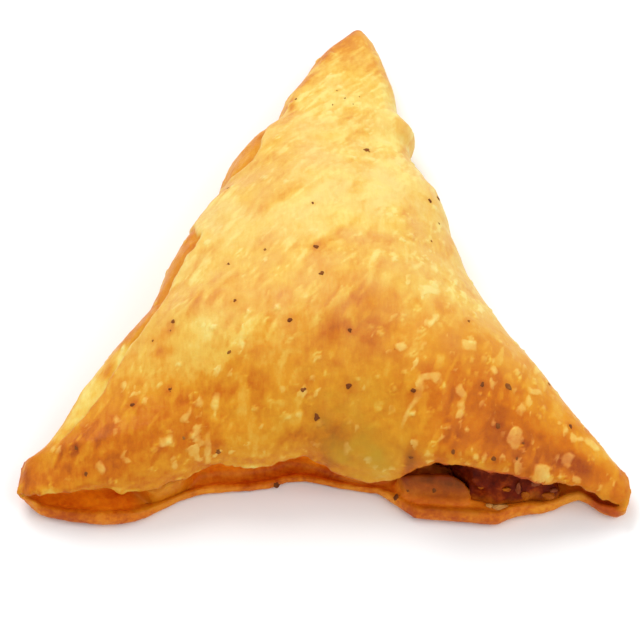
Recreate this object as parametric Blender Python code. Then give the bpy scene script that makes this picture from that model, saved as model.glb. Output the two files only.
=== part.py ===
"""A flat-folded triangular samosa, lying on its broad side with its seam side to the front.

The dough wraps a filling like a paper cone: thin and pinched at the apex (+Y), thick towards
the seam side (-Y). There the upper sheet ends in a free lip that hangs over the base sheet.
To the right of the middle the lip stands open over a pocket, where the filling shows behind
a tucked-in tongue of dough.

Nodes:
    pastry   the dough: top, sides, base sheet, lip and tongue, one solid with an open cavity
    filling  the spiced filling that runs through the whole inside

Lengths below are in millimetres. x runs left to right, y from the seam side (0) back to the
apex, z up from the surface the samosa lies on.
"""

import bpy
import numpy as np
from mathutils import Vector, noise

METRES = 0.001

# Driving dimensions
HALF_WIDTH = 55.0  # of the seam side, corner to corner
DEPTH = 109.5  # seam side to apex
TIP_Y = 5.0  # how far behind the front line the two seam corners lie
WALL = 2.7  # dough thickness over the filling
LIP_EDGE = 2.0  # thickness of the upper sheet's free edge
FIT_GAP = 0.5  # clearance between dough and filling
SHOULDER_Y = 33.0  # the top starts to round down to the lip here
TOP_ROUNDING = 3.4  # radius of the side folds above their widest line
BASE_ROUNDING = 6.0  # radius of the side folds below it
RIM_ROUNDING = 2.2  # radius under the base sheet's front rim
RIM_LINE = 0.42  # height of the rim's foremost line, as a share of the rim's height
APEX_Z = 4.6  # height of the apex point

# The step down from the upper sheet to the wrap below it, along the left fold
STEP_HEIGHT = 0.8
STEP_INSET = 1.9

# A small ear of dough on the right fold
EAR = 2.2
EAR_Y = 82.2
EAR_LENGTH = 4.6

# The tongue of dough tucked into the pocket
TONGUE_X = (12.5, 26.6)
TONGUE_HEIGHT = 6.6
TONGUE_THICKNESS = 2.2
TONGUE_LEAN = 0.32  # backward run for each unit of height
TONGUE_FOOT = (3.6, 1.3)  # y behind the base rim and z of its foot

# The hollow that holds the filling
BASE_SHEET = 2.4  # dough thickness under it
BACK_END = 94.0
FRONT_END = 12.0
FRONT_BEND = 45.0  # its rows bend with the seam side in front of here
CORE_ROUNDING = 3.0
CORE_EDGE = 0.3  # height of its square border, as a share of its full height
LEAST_CORE = 0.9  # half its height where the dough closes over it
FRONT_WALL = 1.7
POCKET = (17.5, 41.0)  # where the hollow opens to the front
POCKET_REACH = 4.4  # how far the hollow runs into the gap under the lip

# The toe of filling that spills forward over the pocket's floor
TOE = (26.5, 39.0)
TOE_FRONT = 3.2  # behind the base rim
TOE_HEIGHT = 1.6
TOE_SLOPE = 0.95

# How finely the surfaces are divided
COLUMNS = 44
ROWS_BACK = 20
ROWS_FRONT = 12
BASE_FULL_ROWS = 4  # behind the rim the underside keeps only some of the columns
BASE_COLUMNS = 18
CORE_COLUMNS = 24
CORE_ROWS = 15
CORE_SKEW = 0.22  # the core's columns crowd towards the pocket side
TONGUE_RINGS = 9
TONGUE_SIDES = 16

# Unevenness of hand-folded dough
WOBBLE = 0.75
WOBBLE_LENGTH = 17.0
LUMP = 0.9
LUMP_LENGTH = 6.0


def profile(*knots):
    """A smooth curve through (position, value) knots that never swings past them."""
    at, value = np.array(knots, float).T
    rise = np.diff(value) / np.diff(at)
    before, after = rise[:-1], rise[1:]
    same_way = before * after > 0
    mean = 2 * before * after / np.where(same_way, before + after, 1)
    slope = np.concatenate([rise[:1], np.where(same_way, mean, 0), rise[-1:]])

    def curve(x):
        x = np.clip(x, at[0], at[-1])
        i = np.clip(np.searchsorted(at, x) - 1, 0, len(at) - 2)
        step = at[i + 1] - at[i]
        t = (x - at[i]) / step
        return (
            value[i] * (1 + 2 * t) * (1 - t) ** 2
            + slope[i] * step * t * (1 - t) ** 2
            + value[i + 1] * t**2 * (3 - 2 * t)
            + slope[i + 1] * step * t**2 * (t - 1)
        )

    return curve


def smooth(x, start, end):
    """0 before start, 1 after end, with an even ramp between."""
    t = np.clip((x - start) / (end - start), 0, 1)
    return t * t * (3 - 2 * t)


def hump(x, centre, half_width):
    """1 at the centre, falling smoothly to 0 at half_width on each side."""
    return 1 - smooth(np.abs(x - centre), 0, half_width)


def quarter(distance, radius):
    """Height of a unit quarter circle, this far in from its widest line."""
    t = np.clip(distance / radius, 0, 1)
    return np.sqrt(1 - (1 - t) ** 2)


# The plan: where the left and right folds lie at each y
left_fold = profile(
    (TIP_Y, -HALF_WIDTH), (8, -54.9), (10.5, -54.4), (13.4, -53.8), (15, -50.6), (19, -47.6),
    (24, -44.5), (29, -41.0), (34, -37.8), (38, -33.9), (42, -31.7), (46, -30.6), (50, -29.0),
    (54, -27.1), (58, -25.3), (62, -23.1), (66, -20.2), (70, -19.5), (74, -18.2), (77, -16.1),
    (80, -13.5), (84, -9.4), (88, -8.3), (92, -6.5), (95, -4.1), (98, -2.9), (101, -1.5),
    (104, 1.0), (107.5, 4.2), (DEPTH, 6.4),
)
right_fold_plain = profile(
    (TIP_Y, HALF_WIDTH), (8, 54.8), (10, 54.3), (13, 52.2), (19, 46.6), (24, 42.7), (29, 38.8),
    (34, 34.8), (39, 32.2), (42, 30.4), (46, 27.7), (50, 26.0), (54, 24.6), (58, 23.4), (63, 22.7),
    (67, 21.3), (71, 18.6), (75, 16.6), (80, 15.5), (88, 13.8), (93, 13.3), (97, 12.1),
    (100, 11.3), (104, 10.0), (106, 9.3), (DEPTH, 6.6),
)

# The seam side, from left corner to right corner
lip_y = profile(
    (-HALF_WIDTH, TIP_Y), (-51.5, 3.2), (-47, 2.8), (-40, 3.0), (-35, 3.2), (-31, 4.0), (-24, 6.2),
    (-21, 7.4), (-18, 7.6), (-14, 7.2), (-9, 7.4), (-4, 8.6), (-1.4, 8.0), (2, 6.8), (7, 6.6),
    (11, 6.0), (15, 5.4), (21, 4.8), (32, 4.2), (45, 3.6), (49, 3.2), (52.5, 2.6), (HALF_WIDTH, TIP_Y),
)
lip_z = profile(
    (-HALF_WIDTH, 4.5), (-51.5, 6.0), (-47, 7.6), (-40, 8.7), (-35, 7.1), (-31, 7.4), (-24, 7.5),
    (-21, 9.8), (-18, 10.1), (-14, 9.1), (-9, 9.8), (-4, 11.2), (-1.4, 10.4), (2, 7.7), (7, 5.9),
    (11, 6.4), (15, 10.1), (18, 12.8), (21, 14.4), (26, 13.4), (32, 13.0), (36.5, 11.4), (40, 9.8),
    (45, 9.0), (49, 6.1), (52.5, 4.6), (HALF_WIDTH, 4.5),
)
base_y = profile(
    (-HALF_WIDTH, TIP_Y), (-53.6, 4.4), (-50, 1.7), (-39, 0.0), (-34, 0.6), (-30, 2.6), (-25, 5.6),
    (-20, 7.0), (-15, 7.3), (-10, 8.0), (-5, 9.6), (0, 8.7), (4, 7.7), (10, 6.6), (12.5, 4.6),
    (15, 1.5), (22, 0.8), (31, 0.0), (35, 1.9), (39, 2.3), (46, 5.3), (49, 2.7), (51.5, 1.6),
    (53.5, 1.3), (54.6, 2.2), (HALF_WIDTH, TIP_Y),
)
rim_z = profile(  # height of the base sheet's front rim
    (-HALF_WIDTH, 4.4), (-49, 3.2), (-38, 3.4), (-29, 2.4), (-10, 1.8), (4, 1.9), (10, 2.4), (16, 3.6),
    (33, 3.7), (42, 2.8), (48, 3.0), (HALF_WIDTH, 4.4),
)
gape = profile(  # how far the gap under the lip reaches in
    (-HALF_WIDTH, 0.3), (-48, 2.4), (-38, 3.2), (-27, 1.6), (-20, 2.6), (-8, 3.2), (0, 2.0), (6, 0.8),
    (11, 1.0), (17, 6.0), (42, 6.0), (48, 2.0), (HALF_WIDTH, 0.3),
)

# The top: crest height along the depth, and how pillowy each row is from side to side
crest_z = profile(
    (TIP_Y, 25.5), (20, 27.6), (34, 28.2), (48, 26.2), (66, 21.0), (83, 14.5), (96, 10.6),
    (104, 8.6), (107.5, 7.2), (DEPTH, 5.2),
)
side_z = profile(  # height of the side folds' widest line
    (TIP_Y, 4.5), (14, 5.2), (34, 7.5), (62, 7.0), (88, 5.4), (102, 4.8), (DEPTH, APEX_Z),
)
fullness = profile((TIP_Y, 1.25), (20, 1.0), (40, 0.72), (70, 0.55), (DEPTH, 0.5))

# Space between the side folds and the hollow
core_margin = profile((TIP_Y, 8.0), (20, 6.5), (50, 5.5), (BACK_END, 4.4))


def right_fold(y):
    return right_fold_plain(y) + EAR * hump(y, EAR_Y, EAR_LENGTH)


def across(columns):
    """Positions from -1 (left fold) to 1 (right fold), closer together near the folds."""
    even = np.linspace(-1, 1, columns + 1)
    return 0.55 * np.sin(even * np.pi / 2) + 0.45 * even


def plan_x(a, y):
    return left_fold(y) + (right_fold(y) - left_fold(y)) * (a + 1) / 2


def bow(y):
    """How much a row follows the curved seam side instead of running straight across."""
    return 1 - smooth(y, TIP_Y, SHOULDER_Y)


def dome_z(a, y):
    """Height of the pillowy top before it rounds down to the lip."""
    half = (right_fold(y) - left_fold(y)) / 2
    inset = (1 - np.abs(a)) * half
    edge = side_z(y)
    rise = np.minimum(TOP_ROUNDING, (crest_z(y) - edge) * 0.8)
    pillow = (1 - np.abs(a) ** 2.1) ** fullness(y)
    body = (crest_z(y) - edge - rise) * pillow
    along = smooth(y, 26, 34) * (1 - smooth(y, 83, 91))
    step = STEP_HEIGHT * along * smooth(-a, 0, 0.1) * smooth(inset, STEP_INSET + 0.4, STEP_INSET - 0.4)
    return edge + rise * quarter(inset, np.minimum(TOP_ROUNDING, half)) + body - step


def round_to_lip(x, y, dome):
    """Height of the top at row y once its front is rounded down to the lip."""
    sine = np.clip((SHOULDER_Y - y) / (SHOULDER_Y - TIP_Y), 0, 1) ** 0.8
    drop = (1 - sine**2) ** 0.4
    lip = np.minimum(lip_z(x), dome)
    return lip + (dome - lip) * drop


def top_point(a, y):
    x = plan_x(a, y)
    return x, y + bow(y) * (lip_y(x) - TIP_Y), round_to_lip(x, y, dome_z(a, y))


def top_height(x, y):
    """Height of the top over a point of the plan."""
    row = y
    for _ in range(4):
        row = np.clip(y - bow(row) * (lip_y(x) - TIP_Y), TIP_Y, DEPTH - 0.5)
    left, right = left_fold(row), right_fold(row)
    a = np.clip(2 * (x - left) / (right - left) - 1, -1, 1)
    return round_to_lip(x, row, dome_z(a, row))


def under_dough(x, y):
    """Height of the dough's inner face under the top: the outer face less the wall, square on."""
    lowest = top_height(x, y) - WALL
    for angle in np.arange(8) * np.pi / 4:
        for share in (0.6, 0.98):
            reach = share * WALL
            over = top_height(x + reach * np.cos(angle), y + reach * np.sin(angle))
            lowest = np.minimum(lowest, over - WALL * np.sqrt(1 - share**2))
    return lowest


def base_point(a, y):
    """The underside: flat where the samosa rests, rounded at its border."""
    x = plan_x(a, y)
    behind = y + bow(y) * (base_y(x) - TIP_Y)
    half = (right_fold(y) - left_fold(y)) / 2
    inset = (1 - np.abs(a)) * half
    side = side_z(y) * (1 - quarter(inset, np.minimum(BASE_ROUNDING, half * 0.8)))
    rim = RIM_LINE * rim_z(x) * (1 - quarter(behind - base_y(x), RIM_ROUNDING))
    return x, behind, np.maximum(side, rim)


def mouth_edge(x):
    """Thickness of the lip's edge, thinning out to nothing at the two corners."""
    return LIP_EDGE * smooth(HALF_WIDTH - np.abs(x), 0, 5)


def mouth_back(x):
    """The back of the gap between lip and base sheet."""
    return np.maximum(lip_y(x), base_y(x)) + mouth_edge(x) + gape(x)


def mouth_rows(x):
    """The gap between lip and base sheet, row by row from the lip inwards and out to the rim."""
    y, z, reach, edge = lip_y(x), lip_z(x), gape(x), mouth_edge(x)
    front, rim, back = base_y(x), rim_z(x), mouth_back(x)
    floor = rim - 0.55 * edge
    roof = np.maximum(z + 0.12 * reach, floor + 0.2)
    inner = front + np.minimum(1.6 * edge, 0.6 * (back - front - 0.2 * reach))
    return (
        (x, y + 0.12 * edge, z - 0.25 * edge),
        (x, y + 0.5 * edge, z - 0.42 * edge),
        (x, y + edge, np.maximum(z - 0.15 * edge, floor + 0.1)),
        (x, y + edge + 0.5 * reach, roof),
        (x, back - 0.12 * reach, 0.7 * roof + 0.3 * floor),
        (x, back, 0.4 * roof + 0.6 * floor),
        (x, back - 0.2 * reach, floor),
        (x, inner, floor),
        (x, 0.45 * front + 0.55 * inner, rim - 0.15 * edge),
        (x, 0.8 * front + 0.2 * inner, rim),
        (x, 0.97 * front + 0.03 * inner, 0.75 * rim),
        (x, front, RIM_LINE * rim),
    )


def uneven(points, amount, length):
    """A slow rise and fall in mm at each point."""
    return amount * 2 * np.array([noise.noise(Vector(p) / length) for p in points])


class Skin:
    """A closed surface laid down row by row, each row running from left to right."""

    def __init__(self):
        self.vertices = []
        self.faces = []

    def row(self, points, ends=()):
        """Add a row, taking two vertices already there as its ends where they are given."""
        points = np.stack(np.broadcast_arrays(*points), -1)
        if ends:
            points = points[1:-1]
        first = len(self.vertices)
        self.vertices.extend(points)
        ids = list(range(first, len(self.vertices)))
        return [ends[0], *ids, ends[1]] if ends else ids

    def strip(self, first, second, picks=None):
        """Faces from one row to the next. picks: where a shorter second row meets the first."""
        picks = range(len(first)) if picks is None else picks
        for i, (start, stop) in enumerate(zip(picks, picks[1:])):
            loop = [first[start], second[i], second[i + 1], *first[stop:start:-1]]
            loop = list(dict.fromkeys(loop))
            if len(loop) > 2:
                self.faces.append(loop)

    def strips(self, rows):
        for first, second in zip(rows, rows[1:]):
            self.strip(first, second)


def outer_skin():
    """The dough's outer face, closed through the gap under the lip."""
    skin = Skin()
    a = across(COLUMNS)
    back = DEPTH - (DEPTH - SHOULDER_Y) * (np.arange(1, ROWS_BACK + 1) / ROWS_BACK) ** 1.3
    turn = np.sin(np.linspace(0, np.pi / 2, ROWS_FRONT + 1)[1:])
    front = SHOULDER_Y - (SHOULDER_Y - TIP_Y) * turn**1.25
    around_ear = EAR_Y + EAR_LENGTH * np.array((-1, -0.45, 0.45, 1))
    levels = sorted([*back, *front, *around_ear], reverse=True)

    apex = skin.row((right_fold(DEPTH), DEPTH, [APEX_Z])) * len(a)
    top = []
    for y in levels:
        points = np.stack(top_point(a, y), -1)
        lift = smooth(points[:, 2], 7, 14) * smooth(y, TIP_Y, 12)
        points[:, 2] += uneven(points, WOBBLE, WOBBLE_LENGTH) * lift
        top.append(skin.row(points.T))
    corners = top[-1][0], top[-1][-1]
    x = np.array(skin.vertices)[top[-1], 0]
    mouth = [skin.row(points, corners) for points in mouth_rows(x)]
    skin.strips([apex, *top, *mouth])

    full = np.arange(COLUMNS + 1)
    sparse = np.sin(np.linspace(-1, 1, BASE_COLUMNS + 1) * np.pi / 2)
    sparse = np.unique(np.round((1 + sparse) * COLUMNS / 2).astype(int))
    before, columns = mouth[-1], full
    for count, (ids, y) in enumerate(zip(top[-2::-1], levels[-2::-1])):
        kept = full if count < BASE_FULL_ROWS else sparse
        row = skin.row(base_point(a[kept], y), (ids[0], ids[-1]))
        skin.strip(before, row, kept.tolist() if len(kept) < len(columns) else None)
        before, columns = row, kept
    skin.strip(before, apex[: len(before)])
    return skin


def hollow_front(x):
    """Where the hollow ends towards the seam side. In the pocket it breaks through."""
    through = smooth(x, POCKET[0] - 1.5, POCKET[0] + 1.5) * smooth(x, POCKET[1] + 1.5, POCKET[1] - 1.5)
    return mouth_back(x) + FRONT_WALL - (FRONT_WALL + POCKET_REACH) * through


def toe_share(x):
    return smooth(x, TOE[0] - 1.5, TOE[0] + 1.5) * smooth(x, TOE[1] + 1.5, TOE[1] - 1.5)


def filling_front(x):
    around = [hollow_front(x + side) for side in (-1.5, 0.0, 1.5)]
    behind = np.max(around, axis=0) + 2 * FIT_GAP
    return behind + (base_y(x) + TOE_FRONT - behind) * toe_share(x)


def core_sides(y, inset):
    """Left and right limits of the hollow at y, drawn in by a clearance."""
    margin = core_margin(y) + 2 * inset
    return left_fold(y) + margin, right_fold_plain(y) - margin


def lens(front, inset, floor, toe=False):
    """A cushion that fills the inside, drawn in towards its rounded border."""
    skin = Skin()
    even = np.linspace(-1, 1, CORE_COLUMNS + 1)
    a = even + CORE_SKEW * (1 - even**2)
    left, right = core_sides(FRONT_END, inset)
    front = front(left + (right - left) * (a + 1) / 2)
    share = (1 + np.sin(np.linspace(-0.5, 0.5, CORE_ROWS + 1) * np.pi)) / 2
    levels = BACK_END - inset - (BACK_END - inset - FRONT_END) * share
    uppers, lowers = [], []
    for level in levels:
        y = level + (front - FRONT_END) * smooth(level, FRONT_BEND, FRONT_END)
        left, right = core_sides(y, inset)
        x = left + (right - left) * (a + 1) / 2
        ceiling = under_dough(x, y) - inset
        if toe:
            slope = floor + TOE_HEIGHT + TOE_SLOPE * (y - front)
            slope += uneven(np.stack([x, y, 0 * x], -1), LUMP, LUMP_LENGTH)
            ceiling += (np.minimum(ceiling, slope) - ceiling) * toe_share(x)
        half = np.maximum((ceiling - floor) / 2, LEAST_CORE - inset)
        ends = min(levels[0] - level, level - FRONT_END)
        border = np.minimum((1 - np.abs(a)) * (right - left) / 2, ends)
        bulge = half * (CORE_EDGE + (1 - CORE_EDGE) * quarter(border, CORE_ROUNDING))
        uppers.append(skin.row((x, y, floor + half + bulge)))
        lowers.append(skin.row((x, y, floor + half - bulge)))
    skin.strips([*uppers, *lowers[::-1], uppers[0]])
    skin.strips([[lower[0], upper[0]] for lower, upper in zip(lowers, uppers)])
    skin.strips([[upper[-1], lower[-1]] for lower, upper in zip(lowers, uppers)])
    return skin


def tongue():
    """A flap of dough standing on the base sheet inside the pocket."""
    skin = Skin()
    turn = np.linspace(0, -2 * np.pi, TONGUE_SIDES + 1)[:-1]
    middle, half_width = sum(TONGUE_X) / 2, (TONGUE_X[1] - TONGUE_X[0]) / 2
    rings = []
    for share in np.sin(np.linspace(0, np.pi / 2, TONGUE_RINGS + 1)):
        taper = (1 - share**4) ** 0.5 if share < 1 else 0.0
        width = half_width * (0.78 + 0.22 * taper) * (0.35 + 0.65 * taper)
        thickness = TONGUE_THICKNESS / 2 * (0.25 + 0.75 * taper)
        x = middle + width * np.sign(np.cos(turn)) * np.abs(np.cos(turn)) ** 0.7
        y = base_y(x) + TONGUE_FOOT[0] + TONGUE_LEAN * TONGUE_HEIGHT * share
        z = TONGUE_FOOT[1] + TONGUE_HEIGHT * share + 0.35 * np.sin((x - middle) * 0.7) * share
        rings.append(skin.row((x, y + thickness * np.sin(turn), z)))
    skin.strips([ring + ring[:1] for ring in rings])
    skin.faces += [rings[-1][::-1], rings[0]]
    return skin


def add_object(name, skin, origin, material=None):
    mesh = bpy.data.meshes.new(name)
    mesh.from_pydata(((np.array(skin.vertices) - origin) * METRES).tolist(), [], skin.faces)
    mesh.shade_smooth()
    obj = bpy.data.objects.new(name, mesh)
    bpy.context.scene.collection.objects.link(obj)
    if material:
        mesh.materials.append(material)
    return obj


def make_material(name, colour, roughness):
    material = bpy.data.materials.new(name)
    material.use_nodes = True
    shader = material.node_tree.nodes["Principled BSDF"]
    shader.inputs["Base Color"].default_value = (*colour, 1)
    shader.inputs["Roughness"].default_value = roughness
    shader.inputs["Metallic"].default_value = 0
    return material


def cut_with(body, tool, operation):
    tool.hide_render = True
    tool.display_type = "WIRE"
    step = body.modifiers.new(tool.name, "BOOLEAN")
    step.operation = operation
    step.solver = "EXACT"
    step.object = tool


def build():
    for obj in list(bpy.data.objects):
        bpy.data.objects.remove(obj, do_unlink=True)

    dough = make_material("dough", (0.72, 0.34, 0.085), 0.5)
    spiced = make_material("spiced_filling", (0.17, 0.035, 0.008), 0.35)

    outer = outer_skin()
    points = np.array(outer.vertices)
    origin = (points.min(0) + points.max(0)) / 2 * (1, 1, 0)

    pastry = add_object("pastry", outer, origin, dough)
    hollow = add_object("hollow", lens(hollow_front, 0.0, BASE_SHEET), origin)
    flap = add_object("flap", tongue(), origin)
    cut_with(pastry, hollow, "DIFFERENCE")
    cut_with(pastry, flap, "UNION")
    add_object("filling", lens(filling_front, FIT_GAP, BASE_SHEET + 0.6, toe=True), origin, spiced)


build()
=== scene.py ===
"""Looks for the flat-folded triangular samosa: fried crust, the filling that shows, and spices.

Points are worked out in millimetres: x from left to right, y from the seam side (0) back to
the apex, z up from the floor. The seam side lies at SEAM_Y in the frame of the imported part.
"""

import itertools
import math

import bmesh
import bpy
import numpy as np
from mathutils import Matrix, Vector
from mathutils.bvhtree import BVHTree


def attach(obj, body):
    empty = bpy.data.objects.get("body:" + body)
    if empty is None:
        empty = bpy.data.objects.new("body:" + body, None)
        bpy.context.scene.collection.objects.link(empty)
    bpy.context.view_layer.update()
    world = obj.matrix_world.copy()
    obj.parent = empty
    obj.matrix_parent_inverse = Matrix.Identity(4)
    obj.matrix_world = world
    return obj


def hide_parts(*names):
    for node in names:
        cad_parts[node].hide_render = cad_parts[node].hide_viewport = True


MM = 0.001
SEAM_Y = -54.75
CORNER_ROUNDING = (-1.2, -0.4, 0.4, 1.2)  # mm either side over which a line is evened out

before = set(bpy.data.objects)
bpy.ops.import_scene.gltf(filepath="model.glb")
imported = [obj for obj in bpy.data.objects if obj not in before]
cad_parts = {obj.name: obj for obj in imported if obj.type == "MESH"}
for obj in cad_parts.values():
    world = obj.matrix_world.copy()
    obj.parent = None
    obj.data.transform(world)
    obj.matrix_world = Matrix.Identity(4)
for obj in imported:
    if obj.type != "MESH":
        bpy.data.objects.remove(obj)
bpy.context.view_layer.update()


# ---------------------------------------------------------------- fields over points in mm


def smooth(value, start, end):
    """An even ramp from 0 at start to 1 at end, level outside them; end may be the lower one."""
    t = np.clip((value - start) / (end - start), 0, 1)
    return t * t * (3 - 2 * t)


def within(value, start, full, fading, end):
    """0 before start, 1 from full to fading, and 0 again after the end."""
    return smooth(value, start, full) * smooth(value, end, fading)


def through(*knots):
    """A line through (position, value) knots, with its corners rounded."""
    at, value = np.array(knots, float).T

    def line(x):
        return sum(np.interp(x + shift, at, value) for shift in CORNER_ROUNDING) / len(CORNER_ROUNDING)

    return line


def lattice(cell, seed):
    """A repeatable number from 0 to 1 for each cell of a lattice, mixed with large primes."""
    x, y, z = cell.astype(np.int64).T
    mixed = (x * 73856093) ^ (y * 19349663) ^ (z * 83492791) ^ (seed * 26544357)
    mixed = ((mixed ^ (mixed >> 13)) & 0xFFFFFFFF) * 1274126177
    return ((mixed ^ (mixed >> 16)) & 0xFFFFFF) / 0xFFFFFF


def ripple(points, length, seed=0):
    """Gradient noise, about -1 to 1, with bumps about this long."""
    place = points / length
    low = np.floor(place)
    t = place - low
    fade = t**3 * (t * (6 * t - 15) + 10)
    total = np.zeros(len(points))
    for corner in itertools.product((0, 1), repeat=3):
        near = np.array(corner)
        pull = sum(
            (2 * lattice(low + near, seed + 17 * k) - 1) * (t - near)[:, k] for k in range(3)
        )
        total += pull * np.prod(np.where(near, fade, 1 - fade), axis=1)
    return total * 1.6


def rough(points, length, octaves, seed=0):
    """Several layers of ripple, each half as long and half as strong as the last.

    The seed only picks the pattern: each use has a number of its own.
    """
    return sum(ripple(points, length / 2**k, seed + 101 * k) / 2**k for k in range(octaves))


def scatter(points, spacing, seed):
    """Distance to the nearest of scattered points, to the second nearest, and the nearest's number."""
    place = points / spacing
    low = np.floor(place)
    first = np.full(len(points), 9.0)
    second = first.copy()
    number = np.zeros(len(points))
    for offset in itertools.product((-1, 0, 1), repeat=3):
        cell = low + np.array(offset)
        middle = cell + np.stack([lattice(cell, seed + k) for k in range(3)], 1)
        away = np.linalg.norm(place - middle, axis=1)
        nearer = away < first
        second = np.where(nearer, first, np.minimum(second, away))
        number = np.where(nearer, lattice(cell, seed + 7), number)
        first = np.minimum(first, away)
    return first * spacing, second * spacing, number


def patches(points, places):
    """Soft oval patches, each (x, y, across, along, strength)."""
    total = np.zeros(len(points))
    for x, y, across, along, strength in places:
        away = ((points[:, 0] - x) / across) ** 2 + ((points[:, 1] - y) / along) ** 2
        total += strength * np.exp(-away)
    return total


# ---------------------------------------------------------------- the folds, as in the part

lip_y = through(
    (-55, 5), (-51.5, 3.2), (-47, 2.8), (-40, 3.0), (-35, 3.2), (-31, 4.0), (-24, 6.2),
    (-21, 7.4), (-18, 7.6), (-14, 7.2), (-9, 7.4), (-4, 8.6), (-1.4, 8.0), (2, 6.8), (7, 6.6),
    (11, 6.0), (15, 5.4), (21, 4.8), (32, 4.2), (45, 3.6), (49, 3.2), (52.5, 2.6), (55, 5),
)
lip_z = through(
    (-55, 4.5), (-51.5, 6.0), (-47, 7.6), (-40, 8.7), (-35, 7.1), (-31, 7.4), (-24, 7.5),
    (-21, 9.8), (-18, 10.1), (-14, 9.1), (-9, 9.8), (-4, 11.2), (-1.4, 10.4), (2, 7.7), (7, 5.9),
    (11, 6.4), (15, 10.1), (18, 12.8), (21, 14.4), (26, 13.4), (32, 13.0), (36.5, 11.4), (40, 9.8),
    (45, 9.0), (49, 6.1), (52.5, 4.6), (55, 4.5),
)
base_y = through(
    (-55, 5), (-53.6, 4.4), (-50, 1.7), (-39, 0.0), (-34, 0.6), (-30, 2.6), (-25, 5.6),
    (-20, 7.0), (-15, 7.3), (-10, 8.0), (-5, 9.6), (0, 8.7), (4, 7.7), (10, 6.6), (12.5, 4.6),
    (15, 1.5), (22, 0.8), (31, 0.0), (35, 1.9), (39, 2.3), (46, 5.3), (49, 2.7), (51.5, 1.6),
    (53.5, 1.3), (54.6, 2.2), (55, 5),
)
left_fold = through(
    (5, -55.0), (8, -54.9), (10.5, -54.4), (13.4, -53.8), (15, -50.6), (19, -47.6), (24, -44.5),
    (29, -41.0), (34, -37.8), (38, -33.9), (42, -31.7), (46, -30.6), (50, -29.0), (54, -27.1),
    (58, -25.3), (62, -23.1), (66, -20.2), (70, -19.5), (74, -18.2), (77, -16.1), (80, -13.5),
    (84, -9.4), (88, -8.3), (92, -6.5), (95, -4.1), (98, -2.9), (101, -1.5), (104, 1.0),
    (107.5, 4.2), (109.5, 6.4),
)
right_fold = through(
    (5, 55.0), (8, 54.8), (10, 54.3), (13, 52.2), (19, 46.6), (24, 42.7), (29, 38.8), (34, 34.8),
    (39, 32.2), (42, 30.4), (46, 27.7), (50, 26.0), (54, 24.6), (58, 23.4), (63, 22.7), (67, 21.3),
    (71, 18.6), (75, 16.6), (80, 17.0), (83, 17.0), (86, 14.8), (88, 13.8), (93, 13.3), (97, 12.1),
    (100, 11.3), (104, 10.0), (106, 9.3), (109.5, 6.6),
)
# Where the upper sheet ends on the left, over the wrap below it
sheet_end = through(
    (8, -51), (11.7, -47.8), (13.4, -45.3), (16.4, -42.7), (20, -40.0), (23.6, -37.9),
    (27, -36.2), (30, -33.2), (33, -31.0), (36, -29.6), (42.7, -26.8), (47.2, -23.8),
    (51.5, -22.4), (55, -23.8), (59, -25.0), (63.5, -22.6), (68.5, -14.2), (70.5, -12.8),
    (72.1, -12.2), (78.1, -10.7), (84, -9.0),
)

POCKET = (17.5, 41.0)  # where the pocket starts and ends, along x


# ---------------------------------------------------------------- meshes


def read(mesh):
    """A mesh's points in mm, measured from the seam side."""
    flat = np.empty(len(mesh.vertices) * 3)
    mesh.vertices.foreach_get("co", flat)
    return flat.reshape(-1, 3) / MM - (0, SEAM_Y, 0)


def write(mesh, points):
    """Puts such points back into the mesh."""
    mesh.vertices.foreach_set("co", ((points + (0, SEAM_Y, 0)) * MM).ravel())
    mesh.update()


def normals(mesh):
    flat = np.empty(len(mesh.vertices) * 3)
    mesh.vertex_normals.foreach_get("vector", flat)
    return flat.reshape(-1, 3)


def neighbours(mesh):
    """Returns mean(values): each vertex's mean over the vertices that share an edge with it."""
    pairs = np.empty(len(mesh.edges) * 2, int)
    mesh.edges.foreach_get("vertices", pairs)
    one, other = pairs.reshape(-1, 2).T
    count = len(mesh.vertices)
    degree = np.maximum(np.bincount(pairs, minlength=count), 1)

    def mean(values):
        columns = values if values.ndim > 1 else values[:, None]
        sums = [
            np.bincount(one, column[other], count) + np.bincount(other, column[one], count)
            for column in columns.T
        ]
        total = np.stack(sums, 1) / degree[:, None]
        return total if values.ndim > 1 else total[:, 0]

    return mean


def relax(points, mean, amount, rounds):
    """Smooths without shrinking: a step towards the neighbours' mean, then a longer one back."""
    for _ in range(rounds):
        for step in (0.5, -0.52):
            points = points + (step * amount)[:, None] * (mean(points) - points)
    return points


def carry(mesh, name, values):
    """Keeps a value from 0 to 1 for each vertex, for the material to read."""
    layer = mesh.attributes.new(name, "FLOAT", "POINT")
    layer.data.foreach_set("value", np.clip(values, 0, 1).astype(np.float32))


def settle(name, mesh, material, node=None):
    """Put a finished mesh in the scene, riding on the part's one body."""
    thing = bpy.data.objects.new(name, mesh)
    bpy.context.scene.collection.objects.link(thing)
    mesh.materials.clear()
    mesh.materials.append(material)
    mesh.polygons.foreach_set("use_smooth", np.ones(len(mesh.polygons), bool))
    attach(thing, "root")
    if node:
        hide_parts(node)


def welded(node):
    """A closed copy of a node of the part."""
    shell = bmesh.new()
    shell.from_mesh(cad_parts[node].data)
    bmesh.ops.remove_doubles(shell, verts=shell.verts, dist=1e-6)
    return shell


def remeshed(shell, size):
    """One closed skin of even squares, size mm across, round everything in the shell."""
    mesh = bpy.data.meshes.new("skin")
    shell.to_mesh(mesh)
    shell.free()
    thing = bpy.data.objects.new("skin", mesh)
    bpy.context.scene.collection.objects.link(thing)
    change = thing.modifiers.new("skin", "REMESH")
    change.mode = "VOXEL"
    change.voxel_size = size * MM
    graph = bpy.context.evaluated_depsgraph_get()
    made = bpy.data.meshes.new_from_object(thing.evaluated_get(graph))
    bpy.data.objects.remove(thing)
    return made


# ---------------------------------------------------------------- the crust

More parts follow.
